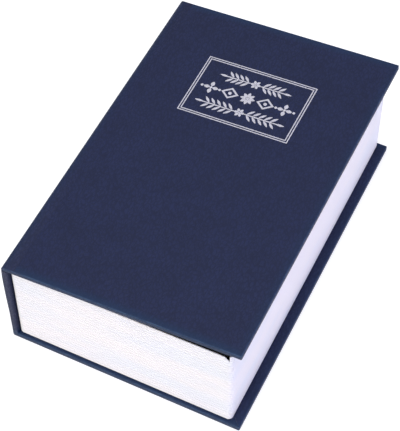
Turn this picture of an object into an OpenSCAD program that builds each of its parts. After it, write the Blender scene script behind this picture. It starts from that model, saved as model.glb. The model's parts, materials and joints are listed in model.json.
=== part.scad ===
// Money box in the form of a bound book. A leatherette case of two boards and a flat spine
// carries a hollow moulded page block, and the page block holds a steel cash box with a
// hinged lid and a cam lock. The front cover rests on the head of the lock, so its fore
// edge stands a little open.
// Millimetres. X runs from the spine to the fore edge, Y from tail to head, Z upwards.
// The origin is the centre of the back cover's underside.

/* [Book] */
// Width of both covers, from the spine to the fore edge
board_w = 116; // [100:0.5:180]
// Height of the book, from tail to head
board_h = 178.5; // [140:0.5:260]
// Thickness of the book at the spine, over both covers
book_t = 56; // [48:0.5:80]
// Thickness of the greyboard inside the covers and the spine
board_t = 2.1; // [1.6:0.1:3]
// Thickness of the leatherette covering
cloth_t = 0.3; // [0.2:0.05:0.4]
// Radius of a cover's corners, seen from above
corner_r = 1; // [0.5:0.1:4]
// Radius of the covering where it folds over the spine's two long edges
fold_r = 2; // [0.8:0.1:2.1]
// Radius of the covering along the other edges of the boards
edge_r = 0.6; // [0.3:0.05:1]
// Width of the covering that is turned in on the inner faces
turn_in = 5; // [4:0.5:12]
// Width of the mitred joints of the turned-in covering at the fore corners
mitre_w = 0.1; // [0.1:0.05:0.5]

/* [Page block] */
// Air gap between the spine board and the page block
spine_air = 0.4; // [0.2:0.05:4]
// Overhang of the covers past the page block at the fore edge
fore_over = 4.7; // [2:0.1:8]
// Overhang of the covers past the page block at tail and head
end_over = 1.4; // [1:0.1:6]
// Wall of the page block
page_wall = 1.6; // [1.2:0.1:2.5]
// Floor of the page block
page_floor = 1.6; // [1.2:0.1:3]
// Radius of the page block's upright corners
page_r = 2.2; // [1.5:0.1:5]
// Rise of the page block's rim from the spine to the fore edge
rim_rise = 2.7; // [0:0.1:4]
// Step by which the fore edge wall stands above the other walls
fore_step = 1.5; // [0:0.1:2]
// Thickness of the lip that the walls thin to at the rim
lip_t = 0.5; // [0.4:0.1:1]
// Height of the lip
lip_h = 4; // [2:0.1:5]
// Width and depth of the relief nicks beside the two fore corners
nick = 2.6; // [1:0.1:3.5]
// Height of the step at the block's foot, which keeps its edge off the back cover
foot_h = 1.2; // [0.4:0.1:1.4]
// Depth of the step at the block's foot
foot_in = 1; // [0.4:0.1:1.2]
// Width of the glue ribs that join the page block to the spine board
rib_w = 10; // [6:0.5:20]
// Spacing of the leaf lines on the three free sides
leaf_pitch = 2; // [1.2:0.1:5]
// Depth of the leaf lines
leaf_depth = 0.15; // [0.1:0.05:0.4]
// Height of the leaf lines
leaf_line = 0.4; // [0.2:0.05:0.6]
// Thickness of the ribs under the steel box
floor_rib = 1.2; // [0.8:0.1:2]

/* [Steel box] */
// Thickness of the steel sheet
sheet = 0.8; // [0.6:0.1:1.2]
// Outer radius of the box's upright corners
bend_r = 2; // [1.5:0.1:4]
// Outer radius of the bends round the box's floor and the lid's plate
fold_out = 1.3; // [1.2:0.05:2]
// Height of the bosses under the box
boss_h = 4; // [3:0.1:6]
// Radius of the bosses under the box
boss_r = 4; // [3:0.1:6]
// Distance of the bosses from the walls of the box
boss_in = 16; // [10:0.5:30]
// Radius of the box screws' shank
screw_r = 1.4; // [1:0.05:1.8]
// Depth of the lid's folded skirt
skirt_h = 6; // [4:0.1:8]
// Clearance between the page block and the lid's skirt
block_clear = 0.6; // [0.3:0.05:1]
// Clearance between the lid's skirt and the box
skirt_clear = 0.4; // [0.2:0.05:0.8]

/* [Hinge] */
// Radius of the hinge pin
pin_r = 1; // [0.8:0.05:1.5]
// Thickness of the hinge leaves
leaf_t = 1; // [0.8:0.05:1.2]
// Width of the hinge leaves
leaf_w = 12; // [9:0.5:16]
// Distance of the hinge's ends from the ends of the box
hinge_in = 3.75; // [2:0.25:20]
// Number of knuckles, an odd number
knuckles = 9; // [5:2:13]
// Radius of the rivets' shank
rivet_r = 1.4; // [1:0.05:1.6]

/* [Lock] */
// Distance of the lock's axis from the fore wall of the box
lock_in = 16.5; // [14:0.1:24]
// Radius of the lock's head
head_r = 9.5; // [9:0.1:11]
// Height of the lock's head above the lid
head_h = 5.7; // [4.5:0.1:8]
// Radius of the lock's threaded barrel
barrel_r = 8; // [7.6:0.1:8.5]
// Length of the lock's barrel under the lid
barrel_l = 11; // [9:0.1:16]
// Width of the barrel over the two flats that stop it turning in the lid
flat_w = 14; // [13.4:0.1:15]
// Radius of the plug
plug_r = 5.5; // [5:0.1:6]
// Thickness of the cam
cam_t = 2; // [1.5:0.1:3]
// Width of the cam
cam_w = 10; // [8:0.1:12]

/* [Hidden] */
$fn = 48;

// Colours
NAVY = "#2B3450";
PAGE_WHITE = "#F4F2FA";
PAPER = "#ECEAE4";
GREYBOARD = "#8F8A80";
BLACK_STEEL = "#1E1F22";
ZINC = "#B9BCC2";
CHROME = "#D4D6DA";
BRASS = "#C4A35A";

// General clearances
touch_gap = 0.1;
rest_gap = 0.3;
run_fit = 0.05;
cut = 1;

// Case
cover_t = board_t + 2 * cloth_t;
spine_t = cover_t;
fold = min(fold_r, cover_t - edge_r);
x_spine = -board_w / 2;
x_fore = board_w / 2;
z_under = book_t - cover_t;
spine_h = z_under - touch_gap;

// Page block
block_x = x_spine + spine_t + spine_air;
block_w = x_fore - fore_over - block_x;
block_l = board_h - 2 * end_over;
rim_low = z_under - touch_gap;
rim_angle = atan(rim_rise / block_w);
block_top = rim_low + rim_rise + fore_step;
bare_board = spine_air + cloth_t;

// Steel box and lid
lid_top = z_under - rest_gap;
lid_under = lid_top - sheet;
box_wall_gap = block_clear + sheet + skirt_clear;
box_fore = block_x + block_w - page_wall - box_wall_gap;
box_l = block_l - 2 * (page_wall + box_wall_gap);
box_floor = cover_t + page_floor + boss_h;
box_top = lid_under - touch_gap;

// Hinge
hinge_l = box_l - 2 * hinge_in;
knuckle_r = pin_r + leaf_t;
hinge_z = lid_under - touch_gap - knuckle_r;
rivet_head_r = 2 * rivet_r;
rivet_head_h = 0.6;
leaf_x = block_x + page_wall + block_clear + rivet_head_h;
hinge_x = leaf_x + knuckle_r;
box_spine = leaf_x + leaf_t;
box_w = box_fore - box_spine;
boss_x = [box_spine + boss_in, box_fore - boss_in];
boss_y = [-1, 1] * (box_l / 2 - boss_in);
pitch = hinge_l / knuckles;
knuckle_gap = 0.3;
spine_wall_top = hinge_z - knuckle_r - rest_gap;
rib_h = spine_wall_top - 2 * cover_t;
leaf_rivets = 4;
rivet_pitch = hinge_l / leaf_rivets;
// The lid's plate starts this far past the hinge's axis, so that it swings clear of the box's corners
lid_x = hinge_x + pin_r;

// Lock
lock_x = box_fore - lock_in;
head_bevel = 1.2;
plug_top_r = plug_r + 1.5;
plug_top_t = 1.2;
barrel_end = lid_under - barrel_l;
washer_t = 1;
nut_t = 3;
nut_r = barrel_r * 1.4;
cam_z = barrel_end - rest_gap - cam_t;
boss_side = 6;
key_w = 1.6;
key_l = 7;
wafers = 5;
wafer_t = 0.8;
wafer_w = 6;
wafer_step = 0.4;
slot_half = cam_w;
cam_reach = lock_in + sheet;

// The cover lies on the spine side of the lock's head, which sets how far it stands open
rest_run = lock_x - (head_r - head_bevel) - x_spine;
rest_rise = lid_top + head_h + rest_gap - z_under;
open_angle = atan(rest_rise / rest_run);

// Rectangle from the origin with its own radius at each corner: near left, near right,
// far right and far left
module round_rect(w, h, r) {
    difference() {
        square([w, h]);
        corner_cut(r[0]);
        translate([w, 0]) rotate(90) corner_cut(r[1]);
        translate([w, h]) rotate(180) corner_cut(r[2]);
        translate([0, h]) rotate(270) corner_cut(r[3]);
    }
}

// What a fillet of radius r takes off a square corner at the origin
module corner_cut(r) {
    if (r > 0) difference() {
        translate([-cut, -cut]) square(r + cut);
        translate([r, r]) circle(r);
        translate([r, -2 * cut]) square([cut, r + 2 * cut]);
        translate([-2 * cut, r]) square([r + 2 * cut, cut]);
    }
}

// Block from the origin, centred on Y: the common part of its plan, its view along Y and its
// view along X. Each of the three has the corner radii of round_rect.
module shaped(w, l, h, plan, side, end) {
    intersection() {
        along_y(l) round_rect(w, h, side);
        translate([0, -l / 2, 0]) along_x(w) round_rect(l, h, end);
        translate([0, -l / 2, 0]) linear_extrude(h) round_rect(w, l, plan);
    }
}

// Upright prism with round corners, its near face at x, centred on Y
module post(x, w, l, z, h, r) {
    translate([x, -l / 2, z]) linear_extrude(h) round_rect(w, l, [r, r, r, r]);
}

// Lays a section drawn in X and Z along Y, centred
module along_y(l) {
    translate([0, l / 2, 0]) rotate([90, 0, 0]) linear_extrude(l) children();
}

// Lays a section drawn in Y and Z along X, from x = 0
module along_x(w) {
    rotate([90, 0, 90]) linear_extrude(w) children();
}

// Wrapped board lying flat with its spine edge on the Y axis. inset takes the covering off
// all round, fold_low and fold_high are the radii of the spine edge's two corners.
module flat_board(inset, fold_low, fold_high) {
    w = board_w - 2 * inset;
    l = board_h - 2 * inset;
    t = cover_t - 2 * inset;
    edge = max(edge_r - inset, 0);
    low = max(fold_low - inset, 0);
    high = max(fold_high - inset, 0);
    corner = max(corner_r - inset, 0);
    translate([inset, 0, inset])
        shaped(w, l, t, [edge, corner, corner, edge], [low, edge, edge, high], [edge, edge, edge, edge]);
}

// Wrapped board standing along the spine, from height z upwards
module upright_board(inset, z) {
    l = board_h - 2 * inset;
    edge = max(edge_r - inset, 0);
    translate([x_spine + inset, -l / 2, z]) linear_extrude(spine_h - z)
        round_rect(spine_t - 2 * inset, l, [edge, edge, edge, edge]);
}

// Field inside the turned-in covering, on a board's inner face
module inner_field(z, h, play) {
    translate([turn_in + play, -board_h / 2 + turn_in + play, z])
        cube([board_w - 2 * (turn_in + play), board_h - 2 * (turn_in + play), h]);
}

// Mitred joints of the turned-in covering, at the two fore corners of a board's inner face
module mitres(z) {
    mitre_l = sqrt(2) * (turn_in - corner_r);
    for (s = [-1, 1])
        translate([board_w - turn_in, s * (board_h / 2 - turn_in), z]) rotate(s * 45)
            translate([-cut, -mitre_w / 2, 0]) cube([cut + mitre_l, mitre_w, cut + cloth_t]);
}

// Puts the front cover, drawn flat, on its fold at the top of the spine
module on_fold() {
    translate([x_spine, 0, z_under]) rotate([0, -open_angle, 0]) children();
}

module front_board() {
    color(GREYBOARD) on_fold() flat_board(cloth_t, 0, fold);
}

module front_covering() {
    color(NAVY) on_fold() difference() {
        flat_board(0, 0, fold);
        flat_board(cloth_t, 0, fold);
        inner_field(-cut, cut + cloth_t, 0);
        mitres(-cut);
    }
}

module front_endpaper() {
    color(PAPER) on_fold() inner_field(0, cloth_t, touch_gap);
}

module back_board() {
    color(GREYBOARD) translate([x_spine, 0, 0]) flat_board(cloth_t, fold, 0);
}

module spine_board() {
    color(GREYBOARD) upright_board(cloth_t, cover_t);
}

// One sheet wraps the back board and the spine board, and is turned in at their edges
module spine_and_back_covering() {
    color(NAVY) difference() {
        union() {
            translate([x_spine, 0, 0]) flat_board(0, fold, 0);
            upright_board(0, fold);
        }
        translate([x_spine, 0, 0]) flat_board(cloth_t, fold, 0);
        upright_board(cloth_t, cover_t);
        translate([x_spine, 0, 0]) inner_field(cover_t - cloth_t, cut, 0);
        translate([x_spine, 0, 0]) mitres(cover_t - cloth_t);
        translate([x_spine + spine_t / 2, -board_h / 2 + turn_in, cover_t])
            cube([spine_t, board_h - 2 * turn_in, spine_h]);
    }
}

module back_endpaper() {
    color(PAPER) translate([x_spine, 0, 0]) inner_field(cover_t - cloth_t, cloth_t, touch_gap);
}

// Half space above the sloping rim
module above_rim(lift) {
    translate([block_x, 0, rim_low + lift]) rotate([0, -rim_angle, 0])
        translate([-block_w, -board_h, 0]) cube([3 * block_w, 2 * board_h, book_t]);
}

// Places of the bosses and screws under the box
module at_bosses() {
    for (x = boss_x, y = boss_y)
        translate([x, y, 0]) children();
}

// Groove of height h and depth d round the three free sides of the page block
module groove(z, h, d) {
    l = block_l - 2 * d;
    r = page_r - d;
    difference() {
        post(block_x, block_w + cut, block_l + 2 * cut, z, h, 0);
        translate([block_x - cut, -l / 2, z - cut]) linear_extrude(h + 2 * cut)
            round_rect(block_w + cut - d, l, [0, r, r, 0]);
    }
}

// Fine grooves like the edges of the leaves
module leaf_lines() {
    for (z = [cover_t + foot_h + leaf_pitch : leaf_pitch : block_top])
        groove(z, leaf_line, leaf_depth);
}

// Rebate inside the three free walls that leaves the lip of the rim
module lip_rebate() {
    r = page_r - lip_t;
    l = block_l - 2 * lip_t;
    intersection() {
        above_rim(-lip_h);
        translate([block_x + page_wall, -l / 2, 0]) linear_extrude(2 * book_t)
            round_rect(block_w - page_wall - lip_t, l, [0, r, r, 0]);
    }
}

// Hollow moulding that looks like the leaves of the book
module page_block() {
    inner_x = block_x + page_wall;
    inner_w = block_w - 2 * page_wall;
    inner_l = block_l - 2 * page_wall;
    inner_r = max(page_r - page_wall, 0);
    fore_x = block_x + block_w;
    color(PAGE_WHITE) difference() {
        union() {
            difference() {
                post(block_x, block_w, block_l, cover_t, block_top - cover_t, page_r);
                post(inner_x, inner_w, inner_l, cover_t + page_floor, book_t, inner_r);
            }
            at_bosses() translate([0, 0, cover_t]) cylinder(r = boss_r, h = page_floor + boss_h);
            for (x = boss_x)
                translate([x - floor_rib / 2, -inner_l / 2 - cut, cover_t])
                    cube([floor_rib, inner_l + 2 * cut, page_floor + boss_h]);
            for (y = boss_y)
                translate([inner_x - cut, y - floor_rib / 2, cover_t])
                    cube([inner_w + 2 * cut, floor_rib, page_floor + boss_h]);
            for (y = [-1, 0, 1] * block_l / 3)
                translate([block_x - bare_board, y - rib_w / 2, cover_t])
                    cube([bare_board + cut, rib_w, rib_h]);
        }
        difference() {
            above_rim(0);
            translate([fore_x - page_wall, -board_h, 0]) cube([page_wall + cut, 2 * board_h, 2 * book_t]);
        }
        above_rim(fore_step);
        translate([block_x - cut, -block_l / 2 + page_r, spine_wall_top])
            cube([page_wall + 2 * cut, block_l - 2 * page_r, book_t]);
        for (y = [-1, 1] * block_l / 2)
            translate([fore_x - page_wall, y, rim_low + rim_rise - nick])
                along_y(2 * page_r + cut)
                    polygon([[0, 0], [0, nick + cut], [-nick - cut, nick + cut]]);
        lip_rebate();
        at_bosses() translate([0, 0, cover_t + page_floor]) cylinder(r = screw_r, h = boss_h + cut);
        leaf_lines();
        groove(cover_t - cut, cut + foot_h, foot_in);
    }
}

// Tray of folded sheet with welded corners. inset moves every face inwards.
module tray(inset, h) {
    corner = bend_r - inset;
    bend = fold_out - inset;
    translate([box_spine + inset, 0, box_floor + inset])
        shaped(box_w - 2 * inset, box_l - 2 * inset, h, [corner, corner, corner, corner],
            [bend, bend, 0, 0], [bend, bend, 0, 0]);
}

module steel_box() {
    color(BLACK_STEEL) difference() {
        tray(0, box_top - box_floor);
        tray(sheet, book_t);
        translate([box_spine - cut, -box_l / 2 + bend_r, spine_wall_top])
            cube([sheet + 2 * cut, box_l - 2 * bend_r, book_t]);
        at_bosses() translate([0, 0, box_floor - cut]) cylinder(r = screw_r + run_fit, h = sheet + 2 * cut);
        at_box_rivets() rivet_hole();
        translate([box_fore - sheet - cut, -slot_half, cam_z - cam_t / 4])
            cube([sheet + 2 * cut, 2 * slot_half, 1.5 * cam_t]);
    }
}

// Four pan head screws that hold the box down on the bosses
module box_screws() {
    color(ZINC) at_bosses() translate([0, 0, box_floor + sheet]) difference() {
        union() {
            translate([0, 0, -sheet - boss_h + 0.5]) cylinder(r = screw_r, h = sheet + boss_h);
            cylinder(r1 = 2 * screw_r, r2 = 1.5 * screw_r, h = 1.6);
        }
        for (a = [0, 90])
            rotate(a) translate([-1.6, -0.3, 0.8]) cube([3.2, 0.6, 2]);
    }
}

// Row of rivet places along the hinge
module along_hinge() {
    for (i = [0 : leaf_rivets - 1])
        translate([0, (i - (leaf_rivets - 1) / 2) * rivet_pitch, 0]) children();
}

module at_box_rivets() {
    along_hinge() translate([leaf_x, 0, spine_wall_top - leaf_w / 2]) rotate([0, 90, 0]) children();
}

module at_lid_rivets() {
    along_hinge() translate([hinge_x + 0.7 * leaf_w, 0, lid_under - leaf_t]) children();
}

module rivet_hole() {
    translate([0, 0, -cut]) cylinder(r = rivet_r, h = leaf_t + sheet + 2 * cut);
}

// Rivet through a leaf and a sheet, with a low head on each side
module rivet() {
    cylinder(r = rivet_r, h = leaf_t + sheet);
    translate([0, 0, leaf_t + sheet]) cylinder(r1 = rivet_head_r, r2 = rivet_head_r * 0.6, h = rivet_head_h);
    rotate([180, 0, 0]) cylinder(r1 = rivet_head_r, r2 = rivet_head_r * 0.6, h = rivet_head_h - touch_gap);
}

// Knuckles of one leaf: every second place along the hinge, from number first
module knuckle_row(first, r, spare) {
    for (i = [first : 2 : knuckles - 1])
        translate([hinge_x, -hinge_l / 2 + i * pitch + spare / 2, hinge_z])
            rotate([-90, 0, 0]) cylinder(r = r, h = pitch - spare);
}

// Round bar along the hinge's axis, longer than the hinge by over at both ends
module hinge_bar(r, over) {
    translate([hinge_x, -hinge_l / 2 - over, hinge_z]) rotate([-90, 0, 0])
        cylinder(r = r, h = hinge_l + 2 * over);
}

// Room that the other leaf's knuckles need
module knuckle_room(first) {
    room_h = 2 * (knuckle_r + rest_gap);
    for (i = [first : 2 : knuckles - 1])
        translate([hinge_x - 2 * knuckle_r, -hinge_l / 2 + i * pitch - knuckle_gap / 2, hinge_z - room_h / 2])
            cube([3 * knuckle_r + rest_gap, pitch + knuckle_gap, room_h]);
}

module box_hinge_leaf() {
    color(BLACK_STEEL) difference() {
        union() {
            knuckle_row(0, knuckle_r, knuckle_gap);
            difference() {
                translate([leaf_x, -hinge_l / 2 + knuckle_gap / 2, spine_wall_top - leaf_w])
                    cube([leaf_t, hinge_l - knuckle_gap, hinge_z - spine_wall_top + leaf_w]);
                knuckle_room(1);
            }
        }
        hinge_bar(pin_r, cut);
        at_box_rivets() rivet_hole();
    }
}

module lid_hinge_leaf() {
    color(BLACK_STEEL) difference() {
        union() {
            knuckle_row(1, knuckle_r, knuckle_gap);
            difference() {
                translate([hinge_x, -hinge_l / 2 + knuckle_gap / 2, lid_under - leaf_t])
                    cube([leaf_w, hinge_l - knuckle_gap, leaf_t]);
                knuckle_room(0);
            }
        }
        hinge_bar(pin_r + run_fit, cut);
        at_lid_rivets() rivet_hole();
    }
}

module hinge_pin() {
    color(ZINC) hinge_bar(pin_r, 0);
}

module box_leaf_rivets() {
    color(ZINC) at_box_rivets() rivet();
}

module lid_leaf_rivets() {
    color(ZINC) at_lid_rivets() rivet();
}

// Block of the lid's size, or of its hollow where inset is the sheet and the open sides reach
// past it by extra
module lid_block(inset, extra) {
    grow = skirt_clear + sheet - inset;
    corner = bend_r + grow;
    bend = fold_out - inset;
    translate([lid_x - extra, 0, lid_top - skirt_h - extra])
        shaped(box_fore + grow - lid_x + extra, box_l + 2 * grow, skirt_h - inset + extra,
            [0, corner, corner, 0], [0, 0, bend, 0], [0, 0, bend, bend]);
}

// Lid of folded sheet: a plate with a skirt on its three free sides
module steel_lid() {
    color(BLACK_STEEL) difference() {
        lid_block(0, 0);
        lid_block(sheet, cut);
        translate([lock_x, 0, lid_under - cut]) barrel(sheet + 2 * cut);
        at_lid_rivets() rivet_hole();
    }
}

// Round bar with two flats, for the lock's barrel and its hole in the lid
module barrel(h) {
    intersection() {
        cylinder(r = barrel_r, h = h);
        translate([-flat_w / 2, -barrel_r, 0]) cube([flat_w, 2 * barrel_r, h]);
    }
}

// Lock case: a bevelled head on the lid and a barrel through it
module lock_housing() {
    head_top = lid_top + head_h;
    color(CHROME) translate([lock_x, 0, 0]) difference() {
        union() {
            translate([0, 0, lid_top]) cylinder(r = head_r, h = head_h - head_bevel);
            translate([0, 0, head_top - head_bevel])
                cylinder(r1 = head_r, r2 = head_r - head_bevel, h = head_bevel);
            translate([0, 0, barrel_end]) barrel(barrel_l + sheet);
        }
        translate([0, 0, barrel_end - cut]) cylinder(r = plug_r + run_fit, h = book_t);
        translate([0, 0, head_top - plug_top_t - touch_gap]) cylinder(r = plug_top_r + run_fit, h = book_t);
    }
}

module lock_washer() {
    color(ZINC) translate([lock_x, 0, lid_under - washer_t]) difference() {
        cylinder(r = nut_r, h = washer_t);
        translate([0, 0, -cut]) cylinder(r = barrel_r, h = washer_t + 2 * cut);
    }
}

module lock_nut() {
    color(ZINC) translate([lock_x, 0, lid_under - washer_t - nut_t]) difference() {
        cylinder(r = nut_r, h = nut_t, $fn = 6);
        translate([0, 0, -cut]) cylinder(r = barrel_r, h = nut_t + 2 * cut);
    }
}

// Height of the underside of wafer number i
function wafer_z(i) = barrel_end + 2 + i * 2 * wafer_t;

// Plug that the key turns. Its square end carries the cam.
module lock_plug() {
    top = lid_top + head_h - touch_gap;
    color(CHROME) translate([lock_x, 0, 0]) difference() {
        union() {
            translate([0, 0, top - plug_top_t]) cylinder(r = plug_top_r, h = plug_top_t);
            translate([0, 0, cam_z + cam_t]) cylinder(r = plug_r, h = top - cam_z - cam_t - plug_top_t / 2);
            translate([-boss_side / 2, -boss_side / 2, cam_z]) cube([boss_side, boss_side, cam_t + cut]);
        }
        translate([-key_w / 2, -key_l / 2, barrel_end + cut]) cube([key_w, key_l, book_t]);
        for (i = [0 : wafers - 1])
            translate([-wafer_w / 2 - run_fit, -plug_r - cut, wafer_z(i) - run_fit])
                cube([wafer_w + 2 * run_fit, 2 * (plug_r + cut), wafer_t + 2 * run_fit]);
        translate([0, 0, cam_z - cut]) cylinder(r = screw_r, h = 2 * cut + cam_t);
    }
}

// Brass wafers in the plug's slots. Their windows lie at three heights, which the key's cuts match.
module lock_wafers() {
    color(BRASS) translate([lock_x, 0, 0]) for (i = [0 : wafers - 1])
        translate([0, 0, wafer_z(i)]) difference() {
            intersection() {
                cylinder(r = plug_r, h = wafer_t);
                translate([-wafer_w / 2, -plug_r, 0]) cube([wafer_w, 2 * plug_r, wafer_t]);
            }
            translate([-key_w / 2 - run_fit, -key_l / 2 + (2 * i % 3 - 1) * wafer_step, -cut])
                cube([key_w + 2 * run_fit, key_l, wafer_t + 2 * cut]);
        }
}

// Flat bar on the plug's square end. It points at the head of the book when unlocked.
module lock_cam() {
    color(ZINC) translate([lock_x, 0, cam_z]) difference() {
        union() {
            cylinder(r = cam_w / 2 + 0.5, h = cam_t);
            translate([-cam_w / 2, 0, 0]) cube([cam_w, cam_reach, cam_t]);
        }
        translate([-boss_side / 2, -boss_side / 2, -cut]) cube([boss_side, boss_side, cam_t + 2 * cut]);
    }
}

module cam_screw() {
    color(ZINC) translate([lock_x, 0, cam_z]) difference() {
        union() {
            cylinder(r = screw_r, h = cut + cam_t);
            translate([0, 0, -1.8]) cylinder(r1 = 2.4 * screw_r, r2 = 3 * screw_r, h = 1.8);
        }
        for (a = [0, 90])
            rotate(a) translate([-1.8, -0.35, -2.8]) cube([3.6, 0.7, 2]);
    }
}

front_board();
front_covering();
front_endpaper();
back_board();
spine_board();
spine_and_back_covering();
back_endpaper();
page_block();
steel_box();
box_screws();
box_hinge_leaf();
hinge_pin();
box_leaf_rivets();
lid_hinge_leaf();
lid_leaf_rivets();
steel_lid();
lock_housing();
lock_washer();
lock_nut();
lock_plug();
lock_wafers();
lock_cam();
cam_screw();
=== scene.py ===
"""Finishes and small parts of a money box in the form of a bound book.

The construction comes packed as the frame: boards, covering, page block, steel box, lid, hinge and
lock. This add-on gives each of those nodes its material, stamps the foil panel on the front cover,
lays the covering over the fold, cuts the thread of the lock, and sets up the studio.
All lengths are metres, in the frame's own axes: +X to the fore edge, +Y to the head, +Z up.
"""

import json
import math

import bpy
from bpy.props import FloatProperty, FloatVectorProperty, IntProperty, PointerProperty
from mathutils import Matrix, Vector


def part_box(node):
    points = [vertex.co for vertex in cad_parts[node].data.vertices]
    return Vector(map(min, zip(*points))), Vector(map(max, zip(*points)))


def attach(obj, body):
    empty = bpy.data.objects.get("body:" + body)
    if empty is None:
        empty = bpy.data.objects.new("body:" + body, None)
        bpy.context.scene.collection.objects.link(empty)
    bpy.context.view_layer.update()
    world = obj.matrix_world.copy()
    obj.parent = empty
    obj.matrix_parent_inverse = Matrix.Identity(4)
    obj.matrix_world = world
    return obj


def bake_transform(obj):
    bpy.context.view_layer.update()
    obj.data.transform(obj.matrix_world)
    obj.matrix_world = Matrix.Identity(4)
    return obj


bl_info = {
    "name": "Book Money Box",
    "version": (1, 0, 0),
    "blender": (4, 5, 0),
    "location": "3D View > Sidebar > Money Box",
    "description": "Finishes and small parts of a money box in the form of a bound book",
    "category": "Object",
}

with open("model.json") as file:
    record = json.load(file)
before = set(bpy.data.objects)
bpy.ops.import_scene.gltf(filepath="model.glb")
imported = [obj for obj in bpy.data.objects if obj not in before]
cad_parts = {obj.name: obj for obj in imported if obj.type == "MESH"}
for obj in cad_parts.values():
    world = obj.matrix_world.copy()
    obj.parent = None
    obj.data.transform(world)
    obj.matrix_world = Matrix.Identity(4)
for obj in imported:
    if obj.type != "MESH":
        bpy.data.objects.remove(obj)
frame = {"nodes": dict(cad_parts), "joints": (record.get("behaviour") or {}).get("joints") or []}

MM = 0.001

# Sizes of the case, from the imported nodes
CASE_LOW, CASE_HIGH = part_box("spine_and_back_covering")
BOARD_W = CASE_HIGH.x - CASE_LOW.x
BOARD_H = CASE_HIGH.y - CASE_LOW.y
COVER_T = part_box("back_endpaper")[1].z
FOLD = Vector(next(j["pos_m"] for j in frame["joints"] if j["name"] == "cover_fold"))


def cover_tilt():
    """Angle by which the front cover stands open at rest, from the broad face of its endpaper."""
    normal = max(frame["nodes"]["front_endpaper"].data.polygons, key=lambda face: face.area).normal
    return math.atan(-normal.x / normal.z)


# Turns a point drawn on the flat cover, with its fold on the Y axis, to its place at rest
TILT = cover_tilt()
ON_COVER = Matrix.Translation(FOLD) @ Matrix.Rotation(-TILT, 4, "Y")


def linear(colour):
    """Linear RGB of an sRGB hex value."""
    parts = [int(colour[i : i + 2], 16) / 255 for i in (1, 3, 5)]
    return tuple(c / 12.92 if c <= 0.04045 else ((c + 0.055) / 1.055) ** 2.4 for c in parts)


# Settings


class CaseSettings(bpy.types.PropertyGroup):
    """Covering, boards and endpapers"""

    cloth_colour: FloatVectorProperty(
        name="Cloth colour", description="Colour of the leatherette",
        subtype="COLOR", default=linear("#1C2547"),
    )
    # Lighter edge colour: partly wear, partly a painted highlight along the edges
    wear_and_highlight_colour: FloatVectorProperty(
        name="Rubbed colour", description="Colour of the rubbed edges",
        subtype="COLOR", default=linear("#486484"),
    )
    # This colour and the width below paint light: a lighter, greener band along the edges, where they
    # catch the light
    edge_light_colour: FloatVectorProperty(
        name="Drawn colour", description="Colour where the covering is drawn round an edge",
        subtype="COLOR", default=linear("#152F4F"),
    )
    edge_light_w: FloatProperty(
        name="Drawn width", description="Width of the drawn covering along the edges",
        unit="LENGTH", default=5.5 * MM,
    )
    grain: FloatProperty(
        name="Grain", description="Width of one pebble of the pressed grain",
        unit="LENGTH", default=1.35 * MM,
    )
    grain_depth: FloatProperty(
        name="Grain depth", description="Depth of the creases of the grain",
        unit="LENGTH", default=0.062 * MM,
    )
    # Width of the lighter edge line: partly wear, partly a painted highlight
    rub: FloatProperty(
        name="Rub", description="Width of the rubbed line along the edges",
        unit="LENGTH", default=0.6 * MM,
    )
    fold_bulge: FloatProperty(
        name="Fold bulge", description="How far the covering stands off the spine below the fold",
        unit="LENGTH", default=0.42 * MM,
    )
    fold_r: FloatProperty(
        name="Fold radius", description="Radius of the cover's edge under the fold",
        unit="LENGTH", default=2.0 * MM,
    )
    cloth_t: FloatProperty(
        name="Cloth thickness", description="Thickness of the covering at the fold",
        unit="LENGTH", default=0.35 * MM,
    )
    board_colour: FloatVectorProperty(
        name="Board colour", description="Colour of the greyboard",
        subtype="COLOR", default=linear("#8F8A80"),
    )
    paper_colour: FloatVectorProperty(
        name="Paper colour", description="Colour of the endpapers",
        subtype="COLOR", default=linear("#ECEAE2"),
    )


class PageSettings(bpy.types.PropertyGroup):
    """Moulded page block"""

    page_colour: FloatVectorProperty(
        name="Page colour", description="Colour of the moulding",
        subtype="COLOR", default=linear("#F1ECED"),
    )
    streak_colour: FloatVectorProperty(
        name="Streak colour", description="Colour of the faint streaks",
        subtype="COLOR", default=linear("#E9E9EE"),
    )
    leaf: FloatProperty(
        name="Leaf", description="Height of one fine leaf line",
        unit="LENGTH", default=0.7 * MM,
    )
    scatter: FloatProperty(
        name="Scatter", description="How far light travels in the plastic",
        unit="LENGTH", default=0.4 * MM,
    )


class SteelSettings(bpy.types.PropertyGroup):
    """Steel box, hinge and small steel parts"""

    coat_colour: FloatVectorProperty(
        name="Coat colour", description="Colour of the powder coat",
        subtype="COLOR", default=linear("#1E1F22"),
    )
    coat_grain: FloatProperty(
        name="Coat grain", description="Width of the coat's orange peel",
        unit="LENGTH", default=0.9 * MM,
    )
    zinc_colour: FloatVectorProperty(
        name="Zinc colour", description="Colour of the zinc plate",
        subtype="COLOR", default=linear("#C3C6CC"),
    )


class LockSettings(bpy.types.PropertyGroup):
    """Cam lock"""

    chrome_colour: FloatVectorProperty(
        name="Chrome colour", description="Colour of the chrome plate",
        subtype="COLOR", default=linear("#DADCE0"),
    )
    brass_colour: FloatVectorProperty(
        name="Brass colour", description="Colour of the wafers",
        subtype="COLOR", default=linear("#D9B36A"),
    )
    thread_pitch: FloatProperty(
        name="Thread pitch", description="Pitch of the barrel's thread",
        unit="LENGTH", default=1.0 * MM,
    )
    thread_depth: FloatProperty(
        name="Thread depth", description="Height of the thread's ridge",
        unit="LENGTH", default=0.45 * MM,
    )


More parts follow.
